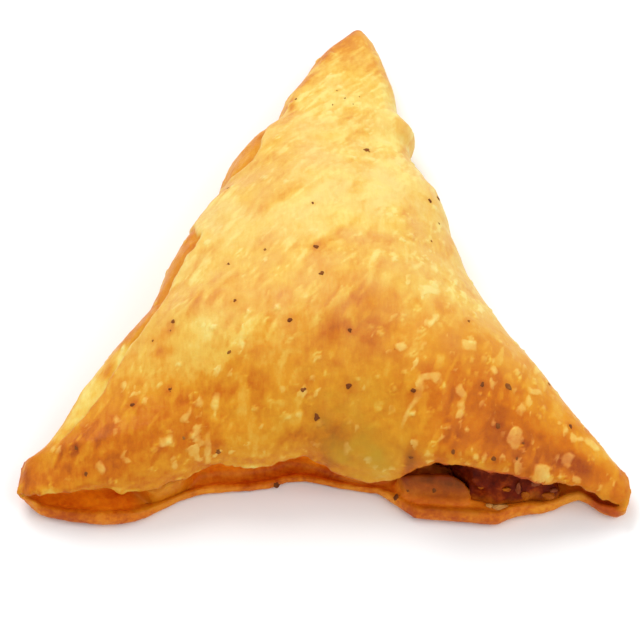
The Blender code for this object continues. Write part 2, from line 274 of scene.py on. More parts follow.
CRUST_CELL = 0.49  # how finely the crust is modelled, in mm
PLUG_SWELL = 1.1  # the filling's space is closed where nothing is seen of it
PLUG_BACK = 14.0  # but stays open this far into the pocket
POCKET_BLEND = 3.0  # over this distance beside the pocket the one turns into the other
RELAX_ROUNDS = 40  # how often the part's facets are smoothed
LIP_KEEP = 0.25  # the share of that smoothing which the thin lip gets


def crust_blank():
    """The dough as one skin, open only at the pocket."""
    plug = welded("filling")
    plug.normal_update()
    for vertex in plug.verts:
        vertex.co += vertex.normal * PLUG_SWELL * MM
        x = vertex.co.x / MM
        in_pocket = smooth(x, POCKET[0] - POCKET_BLEND, POCKET[0])
        in_pocket *= smooth(x, POCKET[1] + POCKET_BLEND, POCKET[1])
        limit = (SEAM_Y + PLUG_BACK) * MM
        if vertex.co.y < limit:
            vertex.co.y += (limit - vertex.co.y) * float(in_pocket)
    spare = bpy.data.meshes.new("plug")
    plug.to_mesh(spare)
    plug.free()
    both = welded("pastry")
    both.from_mesh(spare)
    return remeshed(both, CRUST_CELL)


crust_mesh = crust_blank()
points = read(crust_mesh)
behind_lip = points[:, 1] - lip_y(points[:, 0])
broad = LIP_KEEP + (1 - LIP_KEEP) * smooth(behind_lip, 3.0, 9.0)
points = relax(points, neighbours(crust_mesh), broad, RELAX_ROUNDS)

write(crust_mesh, points)
facing = normals(crust_mesh)
upward = smooth(facing[:, 2], -0.1, 0.3)


def sheet_part(points):
    """1 on the upper sheet, 0 in the gap below its lip and on the base sheet's rim."""
    x, y, z = points.T
    thinner_over_pocket = within(x, 11, 16, 37, 41)
    below = lip_z(x) - z + thinner_over_pocket
    return 1 - smooth(below, 0.9, 1.7) * (1 - smooth(y - lip_y(x), 6.0, 8.0))


def stuck(x):
    """1 where the lip is pressed down on to the base sheet, between the mouth and the recess."""
    return within(x, -35.5, -29.0, -26.0, -22.5)


FAN = np.array([75.0, 180.0])  # streaks in the dough fan out from here
FAN_REACH = 165.0  # from there to the middle of the crust


def fanned(points, along=3.5):
    """Places measured along and across the streaks, drawn out along them."""
    away = points[:, :2] - FAN
    distance = np.linalg.norm(away, axis=1)
    angle = np.arctan2(away[:, 0], -away[:, 1])
    return np.stack([angle * FAN_REACH, distance / along, points[:, 2] * 0.8], 1)


def ragged(points, amount, length, seed):
    """The points shifted about, so that outlines drawn over them turn out uneven."""
    return points + amount * np.stack([rough(points, length, 3, seed + 31 * k) for k in range(3)], 1)


def scraps(points, spacing, share, seed, uneven=0.5):
    """Thin scraps of dough: mm inside the nearest scrap's edge, below 0 outside."""
    moved = ragged(points, uneven, spacing * 0.6, seed + 5)
    first, second, number = scatter(moved, spacing, seed)
    reach = spacing * (0.16 + 0.30 * ((number * 7.3) % 1))
    depth = np.minimum(reach - first, 0.6 * (second - first))
    return np.where(number < share, depth, -1.0)


def spots(points, places):
    """Angular scraps at known places, each (x, y, width, length, turn): mm inside the nearest."""
    moved = ragged(points, 0.35, 1.8, 301)
    depth = np.full(len(points), -1.0)
    for x, y, width, length, turn in places:
        cosine, sine = math.cos(turn), math.sin(turn)
        over, up = moved[:, 0] - x, moved[:, 1] - y
        u = abs(over * cosine + up * sine) / width
        v = abs(up * cosine - over * sine) / length
        depth = np.maximum(depth, (0.5 - (u**5 + v**5) ** 0.2) * min(width, length))
    return depth


# ---- the crust's relief, each height in mm

RIM_PULL = 0.75  # the share by which the wall behind the rim is drawn up to it
SWELL = 0.26  # slow rise and fall
RIDGES = 0.09  # drawn-out ridges
LUMPS = 0.06  # small lumps
ROUGH_SIDES = 0.30  # lumps on the sides, below and inside
SINK = 0.22  # keeps the whole within the part's own size
SHEET_STEP = 0.16  # how high the upper sheet's end stands on the left, at least
WRAP_SINK = 0.10  # how deep the wrap lies beside that step
BLISTER_SPACING = 2.6
BLISTER_HEIGHT = 0.4  # as a share of a blister's radius
ARC_HEIGHT = 0.05
PLATE_HEIGHT = 0.09
PLATE_EDGE = (-0.15, 0.25)  # from where outside a scrap's edge to where inside it rises
STROKE_HEIGHT = 0.07
LIP_RAGGED_Y, LIP_RAGGED_Z = 0.55, 0.40
DROOP_Y, DROOP_Z = 0.6, 0.7  # how far the lip comes forward and down over the pocket's right end
RIM_TUCK = 0.35

# These three follow the points as they are moved
x, y, z = points.T
behind_rim = np.maximum(y - base_y(x) - 0.5, 0) * (1 - sheet_part(points))
points[:, 1] -= RIM_PULL * stuck(x) * behind_rim * smooth(facing[:, 1], 0.3, -0.1)
write(crust_mesh, points)
facing = normals(crust_mesh)
top = sheet_part(points) * upward
near_edge = smooth(behind_lip, -0.5, 5)

# Slow rise and fall, drawn-out ridges, then small lumps
streaks = fanned(points)
low_front = smooth(y, 45, 14)
relief = SWELL * ripple(points, 15, 3) + (RIDGES + 0.06 * low_front) * rough(streaks, 5.0, 3, 11)
relief += (LUMPS + 0.04 * low_front) * rough(points, 3.0, 3, 23) - SINK
relief += ROUGH_SIDES * (1 - top) * rough(points, 2.2, 3, 25)
points += facing * (relief * (0.25 + 0.75 * top * near_edge))[:, None]

# On the left the upper sheet ends in a step, and the wrap below shows as a smooth band
seam = x - sheet_end(y) + 0.5 * rough(points, 4.0, 3, 57)
on_left = smooth(facing[:, 2], -0.9, -0.6) * smooth(x, -6, -10)
along_seam = on_left * within(y, 10, 14, 77, 82)
under_wrap = smooth(seam, 0.2, -0.3) * along_seam
lobe = under_wrap * smooth(y - 2.0 * rough(points, 4, 2, 55), 32.5, 27.0)
step = SHEET_STEP + 0.20 * smooth(rough(points, 9, 2, 59), -0.4, 0.4)
points += facing * (step * along_seam * np.exp(-(((seam - 0.8) / 0.9) ** 2)))[:, None]
points -= facing * (step * 2.0 * along_seam * np.exp(-(((seam + 0.4) / 0.45) ** 2)))[:, None]
left_dent = patches(points, [(-50, 9, 4, 4, 0.5)])
points -= facing * (WRAP_SINK * under_wrap + left_dent)[:, None]

# Small blisters and broken arcs round them, thick over the browned right side
right_side = smooth(x, 5, 24) * smooth(y, 45, 25)
away, _, number = scatter(points, BLISTER_SPACING, 61)
radius = 0.26 + 0.42 * number
blister = np.sqrt(np.clip(1 - (away / radius) ** 2, 0, 1)) * radius * BLISTER_HEIGHT
blister *= (number > 0.80 - 0.36 * right_side) * top
points += facing * blister[:, None]
arc = np.exp(-(((away - radius * 1.6) / 0.16) ** 2)) * smooth(rough(points, 1.6, 1, 63), 0.1, 0.5)
arc *= (number > 0.75 - 0.3 * right_side) * top
points += facing * (ARC_HEIGHT * arc)[:, None]

# The scraps of flaky dough that stand out, each (x, y, width, length, turn)
known_scraps = [
    (11.4, 75.6, 2.4, 1.2, -0.2), (19.0, 36.0, 3.6, 1.5, 0.1), (-25.8, 33.5, 3.0, 0.8, 0.3),
    (25.8, 25.4, 2.7, 2.4, 0.1), (13.7, 22.9, 2.0, 1.8, 0.4), (30.2, 21.6, 1.2, 1.6, 0.7),
    (37.5, 19.8, 2.4, 1.4, 0.3), (18.6, 17.8, 4.0, 1.4, 0.1), (17.2, 16.6, 1.2, 3.2, -0.1),
    (24.3, 16.0, 1.8, 2.4, 0.5), (-19.2, 14.9, 1.5, 2.4, -0.2), (-37.0, 13.7, 1.2, 1.5, 0.3),
    (15.6, 13.2, 0.9, 6.4, -0.6), (47.9, 12.2, 2.6, 1.8, -0.7), (34.0, 9.4, 1.3, 2.6, -0.3),
    (-28.1, 9.2, 2.7, 1.7, 0.1), (-20.6, 8.6, 1.1, 3.6, 0.0), (43.4, 7.6, 1.7, 3.0, -0.5),
    (-39.8, 5.6, 1.5, 2.0, 0.6), (38.7, 4.9, 2.8, 2.2, 0.2),
]

# Thin scraps of flaky dough: the known ones, then many broad and many small ones
share = 0.02 + 0.16 * right_side + 0.15 * low_front
plates = spots(points, known_scraps)
plates = np.maximum(plates, scraps(streaks * (1, 2.0, 1), 3.4, share, 73, 1.0))
plates = np.maximum(plates, scraps(streaks * (1, 1.6, 1), 1.7, 1.5 * share, 79, 0.5))
plates = np.where(top * (1 - under_wrap) > 0.5, plates, -1)
points += facing * (PLATE_HEIGHT * smooth(plates, *PLATE_EDGE))[:, None]

# Brushed strokes, where the dough was stretched
brushed = ragged(streaks, 0.5, 2.5, 48)
stroke = smooth(rough(brushed, 1.9, 2, 47), 0.08, 0.34) * smooth(rough(points, 9, 2, 49), -0.35, 0.25)
points += facing * (STROKE_HEIGHT * stroke * top)[:, None]

# The free edge of the upper sheet is ragged, and it droops over the pocket's right end
edge = smooth(abs(y - lip_y(x) - 0.5), 2.2, 0.4) * smooth(abs(z - lip_z(x) + 0.6), 2.4, 1.0)
points[:, 1] += LIP_RAGGED_Y * edge * rough(points * (1, 0.3, 0.3), 2.8, 4, 91)
points[:, 2] += LIP_RAGGED_Z * edge * rough(points * (1, 0.3, 0.3), 1.9, 4, 92)
droop = edge * within(x, 26.5, 30, 38.5, 42)
points[:, 1] -= DROOP_Y * droop
points[:, 1] += RIM_TUCK * (1 - sheet_part(points)) * smooth(base_y(x) + 2.5 - y, 0, 1.5)
points[:, 2] -= DROOP_Z * droop
points[:, 2] = np.maximum(points[:, 2], 0)
write(crust_mesh, points)

# ---- how the crust is coloured: 0 pale, 0.5 golden brown, 1 dark

SEAM_TONE = 0.53
MIDDLE_PALER = 0.29
APEX_BROWNER = 0.26
FOLD_BROWNER = 0.12
STREAK_TONE = 0.20
DARK_STREAK_TONE = 0.12
ROUND_TONE = 0.07
FINE_TONE = 0.04
STROKE_TONE = 0.14
DASH_TONE = 0.13
STAIN_TONE = 0.20
ARC_HIGHLIGHT_TONE = 0.30
LIP_TONE = 0.26
WRAP_TONE = 0.53
SIDE_TONE = 0.10
INSIDE_TONE = 0.5

# Cracked spices on the upper sheet, which stain it, each (x, y, size, darkness)
upper_specks = [
    (7.9, 72.1, 1.5, 0.5), (19.3, 60.8, 1.0, 1.0), (20.9, 55.8, 0.6, 0.4), (-17.5, 63.5, 0.6, 0.6),
    (-2.0, 55.0, 0.7, 0.8), (-1.4, 43.2, 1.1, 0.7), (-17.2, 41.5, 1.0, 0.8), (-10.6, 43.6, 0.6, 0.4),
    (-15.9, 31.5, 0.7, 0.6), (-6.1, 27.1, 1.0, 0.9), (-27.0, 30.1, 0.9, 0.6), (-0.4, 36.6, 1.1, 0.6),
    (4.6, 25.5, 0.9, 0.9), (4.4, 16.7, 1.2, 1.0), (-1.3, 11.9, 1.5, 0.9), (-3.7, 15.9, 1.0, 0.7),
    (-27.4, 17.6, 1.1, 1.0), (-34.0, 16.0, 1.2, 0.9), (-16.9, 22.0, 0.8, 0.4), (15.9, 15.4, 0.9, 0.9),
    (28.1, 18.1, 1.1, 0.8), (32.8, 19.1, 1.4, 0.5), (30.9, 10.9, 1.4, 0.7), (44.1, 14.7, 1.0, 0.9),
    (34.2, 5.8, 0.7, 0.6), (14.9, 5.6, 0.8, 0.7), (-44.1, 9.4, 1.0, 0.7), (-42.3, 5.0, 0.9, 0.7),
    (-24.9, 9.8, 1.0, 0.3), (-18.9, 8.1, 1.0, 0.5), (25.9, 31.1, 0.8, 0.5), (2.4, 88.9, 0.5, 0.2),
    (5.4, 85.1, 0.4, 0.2), (3.9, 86.7, 0.5, 0.1), (1.6, 84.6, 0.4, 0.2), (6.6, 87.6, 0.4, 0.1),
    (15.4, 6.2, 0.9, 0.7), (22.9, 5.7, 0.8, 0.6), (30.1, 5.3, 0.9, 0.7), (35.4, 8.6, 0.6, 0.6),
    (-5.2, 87.2, 0.6, 0.5), (-27.4, 28.4, 0.5, 0.5), (-30.6, 27.6, 0.5, 0.4), (12.6, 22.4, 0.4, 0.6),
]

# Where the crust is browner and where it is paler than the broad tones, from the apex to the seam
# side, each (x, y, across, along, strength); the browner patch at (15.3, 6.3) is a painted soft shadow
browner_and_shaded = [
    (9, 92, 4, 6, 0.06), (-6.0, 85.4, 0.7, 2.2, 0.45), (-9, 68, 6, 8, 0.10), (-13, 66, 5, 9, 0.08),
    (-19, 64, 3, 3, 0.10), (-11, 54, 11, 9, 0.10), (17, 52, 6, 8, 0.10), (17.6, 50, 4, 4, 0.08),
    (-20, 44, 8, 4, 0.06), (3, 44, 8, 4, 0.17), (12, 41, 5, 3, 0.08), (-27, 39, 5, 6, 0.05),
    (7, 38, 6, 5, 0.09), (13, 38, 7, 5, 0.05), (-20, 36, 6, 6, 0.03), (21.3, 34.8, 1.6, 2.4, 0.22),
    (-9, 32, 6, 4, 0.07), (-12, 31.5, 4, 3, 0.06), (-10, 30, 8, 4, 0.04), (7, 30, 5, 8, 0.05),
    (3, 29, 4, 3, 0.08), (5, 27, 9, 6, 0.18), (-11, 26, 3, 3, 0.08), (26, 25, 6, 5, 0.16),
    (-28.6, 24.5, 2.0, 1.0, 0.30), (-4, 22, 7, 5, 0.06), (31, 22, 4, 4, 0.10),
    (-18, 21.5, 3, 3, 0.06), (-13, 20, 4, 3, 0.12), (31, 20, 4, 3, 0.06), (-16, 17, 5, 3, 0.08),
    (-14, 17, 3, 2, 0.06), (18, 16, 5, 4, 0.16), (-25, 15, 5, 3, 0.12), (31, 15, 10, 8, 0.24),
    (46, 15, 3, 2, 0.12), (46, 15, 3, 3, 0.06), (31.2, 13.6, 1.6, 1.6, 0.06),
    (-33, 13.5, 6, 4, 0.10), (33, 12.5, 5, 4, 0.07), (0.5, 11.5, 2.0, 4.0, 0.08),
    (-23, 11, 5, 3, 0.12), (5, 11, 5, 3, 0.05), (22, 11, 8, 5, 0.19), (-38, 10, 9, 7, 0.20),
    (1, 10, 8, 6, 0.16), (-20, 9.5, 4, 3, 0.06), (2, 9, 4, 2, 0.06), (6, 9, 8, 2, 0.06),
    (42, 9, 9, 6, 0.21), (-42, 8, 5, 4, 0.07), (-26, 8, 9, 4, 0.08), (3, 8, 6, 3, 0.07),
    (30, 8, 14, 3, 0.10), (36, 7, 7, 3, 0.14), (33, 6.5, 8, 2, 0.05), (45, 6.5, 4, 2.5, 0.28),
    (15.3, 6.3, 1.6, 1.6, 0.35), (-50, 6, 7, 5, 0.16), (22, 6, 5, 2, 0.08), (50, 6, 6, 5, 0.10),
    (-47.5, 5, 3, 2, 0.08), (37, 4.5, 3, 1.5, 0.10),
]
paler = [
    (4, 89, 5, 8, -0.08), (13, 80, 5, 8, -0.06), (11.4, 75.6, 1.3, 0.7, -0.30),
    (6, 62, 6, 6, -0.08), (11, 62, 6, 9, -0.12), (-18, 55.5, 2.5, 4, -0.08), (-10, 55, 8, 4, -0.04),
    (-1, 55, 10, 11, -0.10), (-13, 52, 8, 4, -0.06), (-8, 50, 12, 10, -0.04),
    (-24, 45, 3, 6, -0.05), (-16, 44, 6, 8, -0.06), (1, 43, 5, 4, -0.08), (13, 41, 6, 5, -0.10),
    (20, 36, 5, 3, -0.18), (10, 30, 4, 3, -0.11), (-20, 28, 8, 4, -0.11), (-14, 27, 13, 6, -0.12),
    (-19, 26.5, 5, 4, -0.09), (-28, 22, 9, 4, -0.08), (-17, 22, 4, 4, -0.02), (33, 22, 8, 4, -0.10),
    (-23, 21, 4, 4, -0.07), (3, 21, 5, 2.5, -0.06), (-12, 20, 4, 2.5, -0.07),
    (-10, 19, 4, 3, -0.05), (38, 17, 3, 3, -0.10), (24.5, 16, 2.0, 4.0, -0.06),
    (45, 14, 7, 4, -0.16), (26, 13, 5, 3, -0.09), (26, 11, 5, 4, -0.07), (50, 11, 3, 3, -0.12),
    (50, 11, 2, 2, -0.10), (-49, 10, 3, 3, -0.12), (-5, 10, 4, 1.5, -0.06), (16, 10, 3, 2, -0.08),
    (46, 10, 3, 2, -0.09), (-38, 8, 5, 2.5, -0.08), (-14, 8, 3, 2, -0.08), (38, 8, 5, 3, -0.05),
    (12, 7, 3, 1.5, -0.06), (8, 6.5, 4, 2, -0.12), (16, 6.5, 3, 1.5, -0.08),
]

# Broad tones: golden along the seam side, pale in the middle, browner at the apex and the left fold
bake = SEAM_TONE - MIDDLE_PALER * smooth(y, 16, 52) + APEX_BROWNER * smooth(y, 90, 104)
bake += (FOLD_BROWNER + 0.16 * smooth(y, 70, 85)) * smooth(left_fold(y) - x, -4.5, -0.5)
bake += patches(points, browner_and_shaded + paler)

# Drawn-out and round mottling, paler strokes, and a stain round each speck
calm = 1 - 0.7 * right_side
broad_streaks = smooth(rough(fanned(points, 1.9), 6.0, 3, 41), 0.0, 0.7)
bake += (STREAK_TONE - 0.07 * low_front) * (broad_streaks - 0.30)
dark_streaks = smooth(rough(brushed, 1.7, 2, 42), 0.0, -0.5) * smooth(rough(points, 7, 2, 50), -0.3, 0.3)
bake += calm * DARK_STREAK_TONE * dark_streaks
bake += ROUND_TONE * rough(points, 3.4, 2, 43)
bake += (FINE_TONE + 0.01 * low_front) * rough(ragged(points, 0.7, 2, 44), 1.5, 2, 46)
bake -= (STROKE_TONE + 0.05 * smooth(y, 15, 30)) * stroke * top
dashes = smooth(rough(brushed, 1.15, 2, 147), 0.22, 0.45) * smooth(rough(points, 6, 2, 149), -0.2, 0.3)
bake -= DASH_TONE * smooth(y, 18, 40) * dashes * top
for speck_x, speck_y, width, dark in upper_specks:
    away = np.hypot(x - speck_x, y - speck_y)
    bake += top * dark * STAIN_TONE * np.exp(-((away / width) ** 2))
# Painted highlights: pale broken arcs round the blisters
bake -= ARC_HIGHLIGHT_TONE * arc
bake -= LIP_TONE * edge * smooth(rough(points, 2.6, 3, 93), 0.1, 0.5) * smooth(x, 20, -10)

# The wrap on the left: a browner band under the upper sheet's end, paler towards the corner, and
# all of it nearer to the rest of the side towards the floor
band = WRAP_TONE + 0.08 * smooth(y, 60, 30) + 0.14 * rough(streaks, 5, 3, 58)
band -= 0.20 * smooth(facing[:, 2], 0.30, -0.35)
# Painted shade: the lobe darker where its surface turns down
side = SIDE_TONE + 0.14 * rough(points, 3, 3, 60) + 0.34 * smooth(facing[:, 2], 0.40, -0.20)
side += patches(points, [(-39.3, 24.8, 1.4, 2.0, 0.42), (-38.0, 27.0, 0.9, 2.6, 0.30)])
wrap_tone = under_wrap * smooth(y + 2.5 * rough(points, 4, 2, 56), 8, 15)
wrap_tone *= 1 - 0.7 * smooth(z - 3 * rough(points, 5, 3, 161), 15, 6)
bake += wrap_tone * (band + (side - band) * lobe - bake)

# Painted shade: olive on the front where the lip is pressed down
olive_shade = patches(points, [(7.5, 6, 7, 4, 1.0), (-2, 12, 10, 6, 0.28), (6, 14, 8, 6, 0.30)])
olive_shade *= 0.8 + 0.4 * rough(points, 4, 3, 51)

# Inside the mouth, the recess and the pocket, but not where the sheets are stuck together
inside = 1 - sheet_part(points)
depth = smooth(y - base_y(x), 0.6, 3.6) * smooth(z, 0.3, 2.0)
shifted = x + 2.5 * rough(points, 3.0, 2, 53)
glued = within(shifted, -37.0, -28.5, -27.0, -20.5)
inside = np.maximum(inside - 0.85 * glued * smooth(y - base_y(x), 0.3, 1.2), 0)

# The far wall of the pocket, behind the lip
behind = np.maximum(smooth(lip_z(x) - z, 0.5, 1.5), smooth(facing[:, 2], 0.2, -0.2))
behind *= smooth(z, 0.8, 1.6) * smooth(y - lip_y(x), 1.0, 2.5) * smooth(y, 20, 17)
behind *= smooth(x, 5, 12) * smooth(right_fold(y) - x, 2.0, 4.0)
# Where the far wall lies inside the pocket it gets painted shade below
far_wall_shade = behind * within(x, 13, 16, 38, 42)
inside = np.maximum(inside, behind) * smooth(x, 54.0, 52.0)

# Painted shade, dark red, under the lip, on the pocket's far wall, in the slit at the right corner and
# on the tongue's top; and the tongue of dough that stands in the pocket
painted_lip_shade = within(x, 12, 16, 50, 53) * smooth(z - lip_z(x), -4.0, -2.5) * inside
# Painted shade across the whole gap in the slit at the right corner, a deep fold
painted_lip_shade = np.maximum(painted_lip_shade, 0.9 * inside * smooth(x, 46.5, 48.5) * smooth(z, 0.9, 2.0))
flap = within(x, 10, 14, 27, 28.5) * smooth(z, 2.4, 4.6) * inside
painted_shade = np.maximum(np.maximum(painted_lip_shade, far_wall_shade), flap * smooth(z, 7.0, 9.0))

# Paler and darker places inside, each (x, y, across, along, strength); the paler ones behind the tongue,
# at (19, 14) and (25, 13), and on the floor right of the filling, at (45, 6), are painted light lifting
# spots that lie in shade
tint = patches(
    points,
    [
        (-52, 4, 3, 3, -0.16), (-27, 5, 3, 3, -0.12), (-5, 10, 5, 3, -0.14), (10, 7, 6, 3, -0.12),
        (21, 3, 6, 3, 0.16), (40, 4, 4, 3, -0.13), (45, 6, 3, 4, -0.30), (19, 14, 6, 4, -0.55),
        (25, 13, 3, 4, -0.50),
    ],
)
# Painted shade: the tongue darker towards its top, under the lip
tint += 0.40 * flap * smooth(z, 4.2, 7.6)
bake += inside * (INSIDE_TONE + tint - bake)

dry = smooth(y, 14, 42) * (1 - 0.5 * smooth(y, 72, 90)) * (0.6 + 0.5 * rough(points, 6, 2, 52))

for name, values in {
    "bake": bake,
    "flap": flap,
    "painted_lip_shade": painted_shade,
    "pocket": smooth(x, 6, 12),
    "dry": dry * (1 - 0.9 * under_wrap),
    "olive_shade": olive_shade * top,
    "inside": inside,
    "threads": calm,
    "depth": depth,
    "plates": 0.5 + plates,
    "blister": smooth(blister, 0.02, 0.15),
}.items():
    carry(crust_mesh, name, values)


# ---------------------------------------------------------------- materials


class Nodes:
    """A short way to write a node material."""

    def __init__(self, name):
        self.material = bpy.data.materials.new(name)
        self.material.use_nodes = True
        self.tree = self.material.node_tree
        self.shader = next(n for n in self.tree.nodes if n.type == "BSDF_PRINCIPLED")

    def add(self, kind, inputs=(), **settings):
        node = self.tree.nodes.new("ShaderNode" + kind)
        for key, value in settings.items():
            setattr(node, key, value)
        for key, value in dict(inputs).items():
            self.set(node.inputs[key], value)
        return node

    def set(self, socket, value):
        if isinstance(value, bpy.types.NodeSocket):
            self.tree.links.new(value, socket)
        else:
            socket.default_value = value

    def noise(self, scale, detail=4, rough=0.55, vector=None):
        inputs = {"Scale": scale, "Detail": detail, "Roughness": rough}
        inputs["Vector"] = vector or self.place()
        return self.add("TexNoise", inputs).outputs["Fac"]

    def place(self):
        return self.add("TexCoord").outputs["Object"]

    def attribute(self, name):
        return self.add("Attribute", attribute_name=name).outputs["Fac"]

    def maths(self, operation, first, second=0.0, third=0.0):
        return self.add("Math", {0: first, 1: second, 2: third}, operation=operation).outputs[0]

    def sway(self, value, share, base):
        """The base, moved by a share of how far the value lies from 0.5."""
        return self.maths("MULTIPLY_ADD", self.maths("SUBTRACT", value, 0.5), share, base)

    def between(self, value, low, high):
        """0 where the value is low, 1 where it is high."""
        return self.add("MapRange", {"Value": value, "From Min": low, "From Max": high}).outputs[0]

    def soft(self, weight, radius, scale):
        """Lets light a little way in."""
        self.shader.inputs["Subsurface Weight"].default_value = weight
        self.shader.inputs["Subsurface Radius"].default_value = radius
        self.shader.inputs["Subsurface Scale"].default_value = scale

    def bump(self, height, strength, distance):
        inputs = {"Height": height, "Strength": strength, "Distance": distance}
        self.set(self.shader.inputs["Normal"], self.add("Bump", inputs).outputs["Normal"])

    def ramp(self, value, stops):
        node = self.add("ValToRGB", {"Fac": value})
        ramp = node.color_ramp
        while len(ramp.elements) < len(stops):
            ramp.elements.new(0.5)
        for element, (position, colour) in zip(ramp.elements, stops):
            element.position = position
            element.color = (*colour, 1)
        return node.outputs["Color"]

    def mix(self, share, first, second):
        node = self.add("Mix", data_type="RGBA", blend_type="MIX")
        self.set(node.inputs["Factor"], share)
        self.set(node.inputs[6], first if not isinstance(first, tuple) else (*first, 1))
        self.set(node.inputs[7], second if not isinstance(second, tuple) else (*second, 1))
        return node.outputs[2]


def crust_material():
    n = Nodes("fried_dough")
    grain = n.noise(2600, 3, 0.6)
    fine = n.noise(1000, 5, 0.6)
    mottle = n.noise(380, 4, 0.55)
    drawn = n.add(
        "Mapping",
        {"Vector": n.place(), "Rotation": (0, 0, math.radians(29)), "Scale": (1, 0.28, 0.6)},
    )
    strand = n.noise(1250, 3, 0.55, drawn.outputs[0])
    level = n.sway(fine, 0.12, n.attribute("bake"))
    level = n.sway(mottle, 0.20, level)
    level = n.sway(grain, 0.05, level)
    threads = n.maths("MULTIPLY", n.maths("SUBTRACT", strand, 0.5), n.attribute("threads"))
    level = n.maths("MULTIPLY_ADD", threads, 0.30, level)
    plate = n.between(n.attribute("plates"), 0.40, 0.80)
    plate = n.maths("MULTIPLY", plate, n.maths("MULTIPLY_ADD", mottle, 1.6, -0.15))
    level = n.maths("MULTIPLY_ADD", plate, -0.38, level)
    # Painted highlight: the blisters' tops paler
    level = n.maths("MULTIPLY_ADD", n.attribute("blister"), -0.22, level)

    # From pale through golden and brown to dark
    colour = n.ramp(
        level,
        [
            (0.0, (0.76, 0.63, 0.17)),
            (0.25, (0.72, 0.44, 0.060)),
            (0.5, (0.65, 0.265, 0.010)),
            (0.75, (0.53, 0.135, 0.001)),
            (1.0, (0.31, 0.052, 0.002)),
        ],
    )
    colour = n.mix(n.maths("MULTIPLY", n.attribute("dry"), 0.40), colour, (0.69, 0.425, 0.175))
    # Painted shade: olive on the front where the lip is pressed down
    colour = n.mix(n.attribute("olive_shade"), colour, (0.50, 0.27, 0.014))
    colour = n.mix(n.maths("MULTIPLY", plate, 0.25), colour, (0.77, 0.58, 0.24))

    # Inside the folds: the rim, then the deeper dough, then dark red painted shade under the lip and in
    # the pocket
    blotch = n.maths("ADD", n.maths("MULTIPLY", n.noise(170, 3), 0.6), n.maths("MULTIPLY", fine, 0.4))
    blotch = n.sway(n.attribute("bake"), -0.5, blotch)
    rim = n.ramp(
        blotch,
        [(0.38, (0.42, 0.070, 0.002)), (0.5, (0.60, 0.150, 0.004)), (0.64, (0.74, 0.27, 0.016))],
    )
    deep = n.ramp(blotch, [(0.36, (0.66, 0.09, 0.001)), (0.66, (0.98, 0.30, 0.006))])
    pocket_floor = n.ramp(blotch, [(0.36, (0.66, 0.11, 0.002)), (0.66, (0.90, 0.28, 0.012))])
    deep = n.mix(n.attribute("pocket"), deep, pocket_floor)
    colour = n.mix(n.attribute("inside"), colour, n.mix(n.attribute("depth"), rim, deep))
    lightened = n.maths("SUBTRACT", n.maths("ADD", mottle, 0.5), n.attribute("bake"))
    brown = n.ramp(
        lightened,
        [(0.0, (0.17, 0.035, 0.001)), (0.3, (0.34, 0.065, 0.001)), (0.7, (0.53, 0.15, 0.004))],
    )
    colour = n.mix(n.attribute("flap"), colour, brown)
    # Painted shade: dark red under the lip, on the pocket's far wall and on the tongue's top
    painted_shade = n.ramp(
        lightened,
        [(0.3, (0.30, 0.026, 0.001)), (0.7, (0.55, 0.085, 0.004)), (1.0, (0.90, 0.22, 0.012))],
    )
    colour = n.mix(n.attribute("painted_lip_shade"), colour, painted_shade)
    n.set(n.shader.inputs["Base Color"], colour)

    # An uneven shine, glossier on the blisters
    shine = n.noise(240, 3, 0.5)
    n.set(n.shader.inputs["Roughness"], n.maths("MULTIPLY_ADD", shine, 0.4, 0.24))
    n.shader.inputs["Specular IOR Level"].default_value = 0.15
    n.set(n.shader.inputs["Coat Weight"], n.maths("MULTIPLY", n.attribute("blister"), 0.3))
    n.shader.inputs["Coat Roughness"].default_value = 0.15
    n.soft(0.12, (1.0, 0.45, 0.15), 0.0015)

    # The finest grain, too small to model
    height = n.maths("MULTIPLY_ADD", fine, 0.35, n.maths("MULTIPLY", mottle, 0.8))
    height = n.maths("MULTIPLY_ADD", grain, 0.2, height)
    height = n.maths("MULTIPLY_ADD", strand, 0.5, height)
    height = n.maths("MULTIPLY_ADD", plate, 0.25, height)
    n.bump(height, 0.6, 0.0004)
    return n.material


def filling_material():
    n = Nodes("spiced_filling")
    grain = n.noise(420, 5, 0.6)
    mash = n.ramp(
        grain,
        [(0.3, (0.065, 0.003, 0.0002)), (0.5, (0.14, 0.011, 0.0004)), (0.7, (0.31, 0.045, 0.002))],
    )
    glassy = n.ramp(grain, [(0.3, (0.22, 0.035, 0.001)), (0.7, (0.44, 0.12, 0.006))])
    onion = n.ramp(grain, [(0.3, (0.18, 0.035, 0.010)), (0.7, (0.32, 0.09, 0.03))])
    crumb = n.ramp(grain, [(0.3, (0.50, 0.20, 0.04)), (0.7, (0.70, 0.36, 0.10))])
    kind = n.attribute("kind")
    colour = n.mix(n.between(kind, 0.3, 0.4), mash, glassy)
    colour = n.mix(n.between(kind, 0.6, 0.7), colour, onion)
    n.set(n.shader.inputs["Base Color"], n.mix(n.between(kind, 0.88, 0.95), colour, crumb))
    n.set(n.shader.inputs["Roughness"], n.maths("MULTIPLY_ADD", n.noise(300), 0.5, 0.15))
    n.shader.inputs["Specular IOR Level"].default_value = 0.06
    n.soft(0.1, (1.0, 0.3, 0.1), 0.001)
    n.bump(n.noise(700, 5), 0.6, 0.0004)
    return n.material


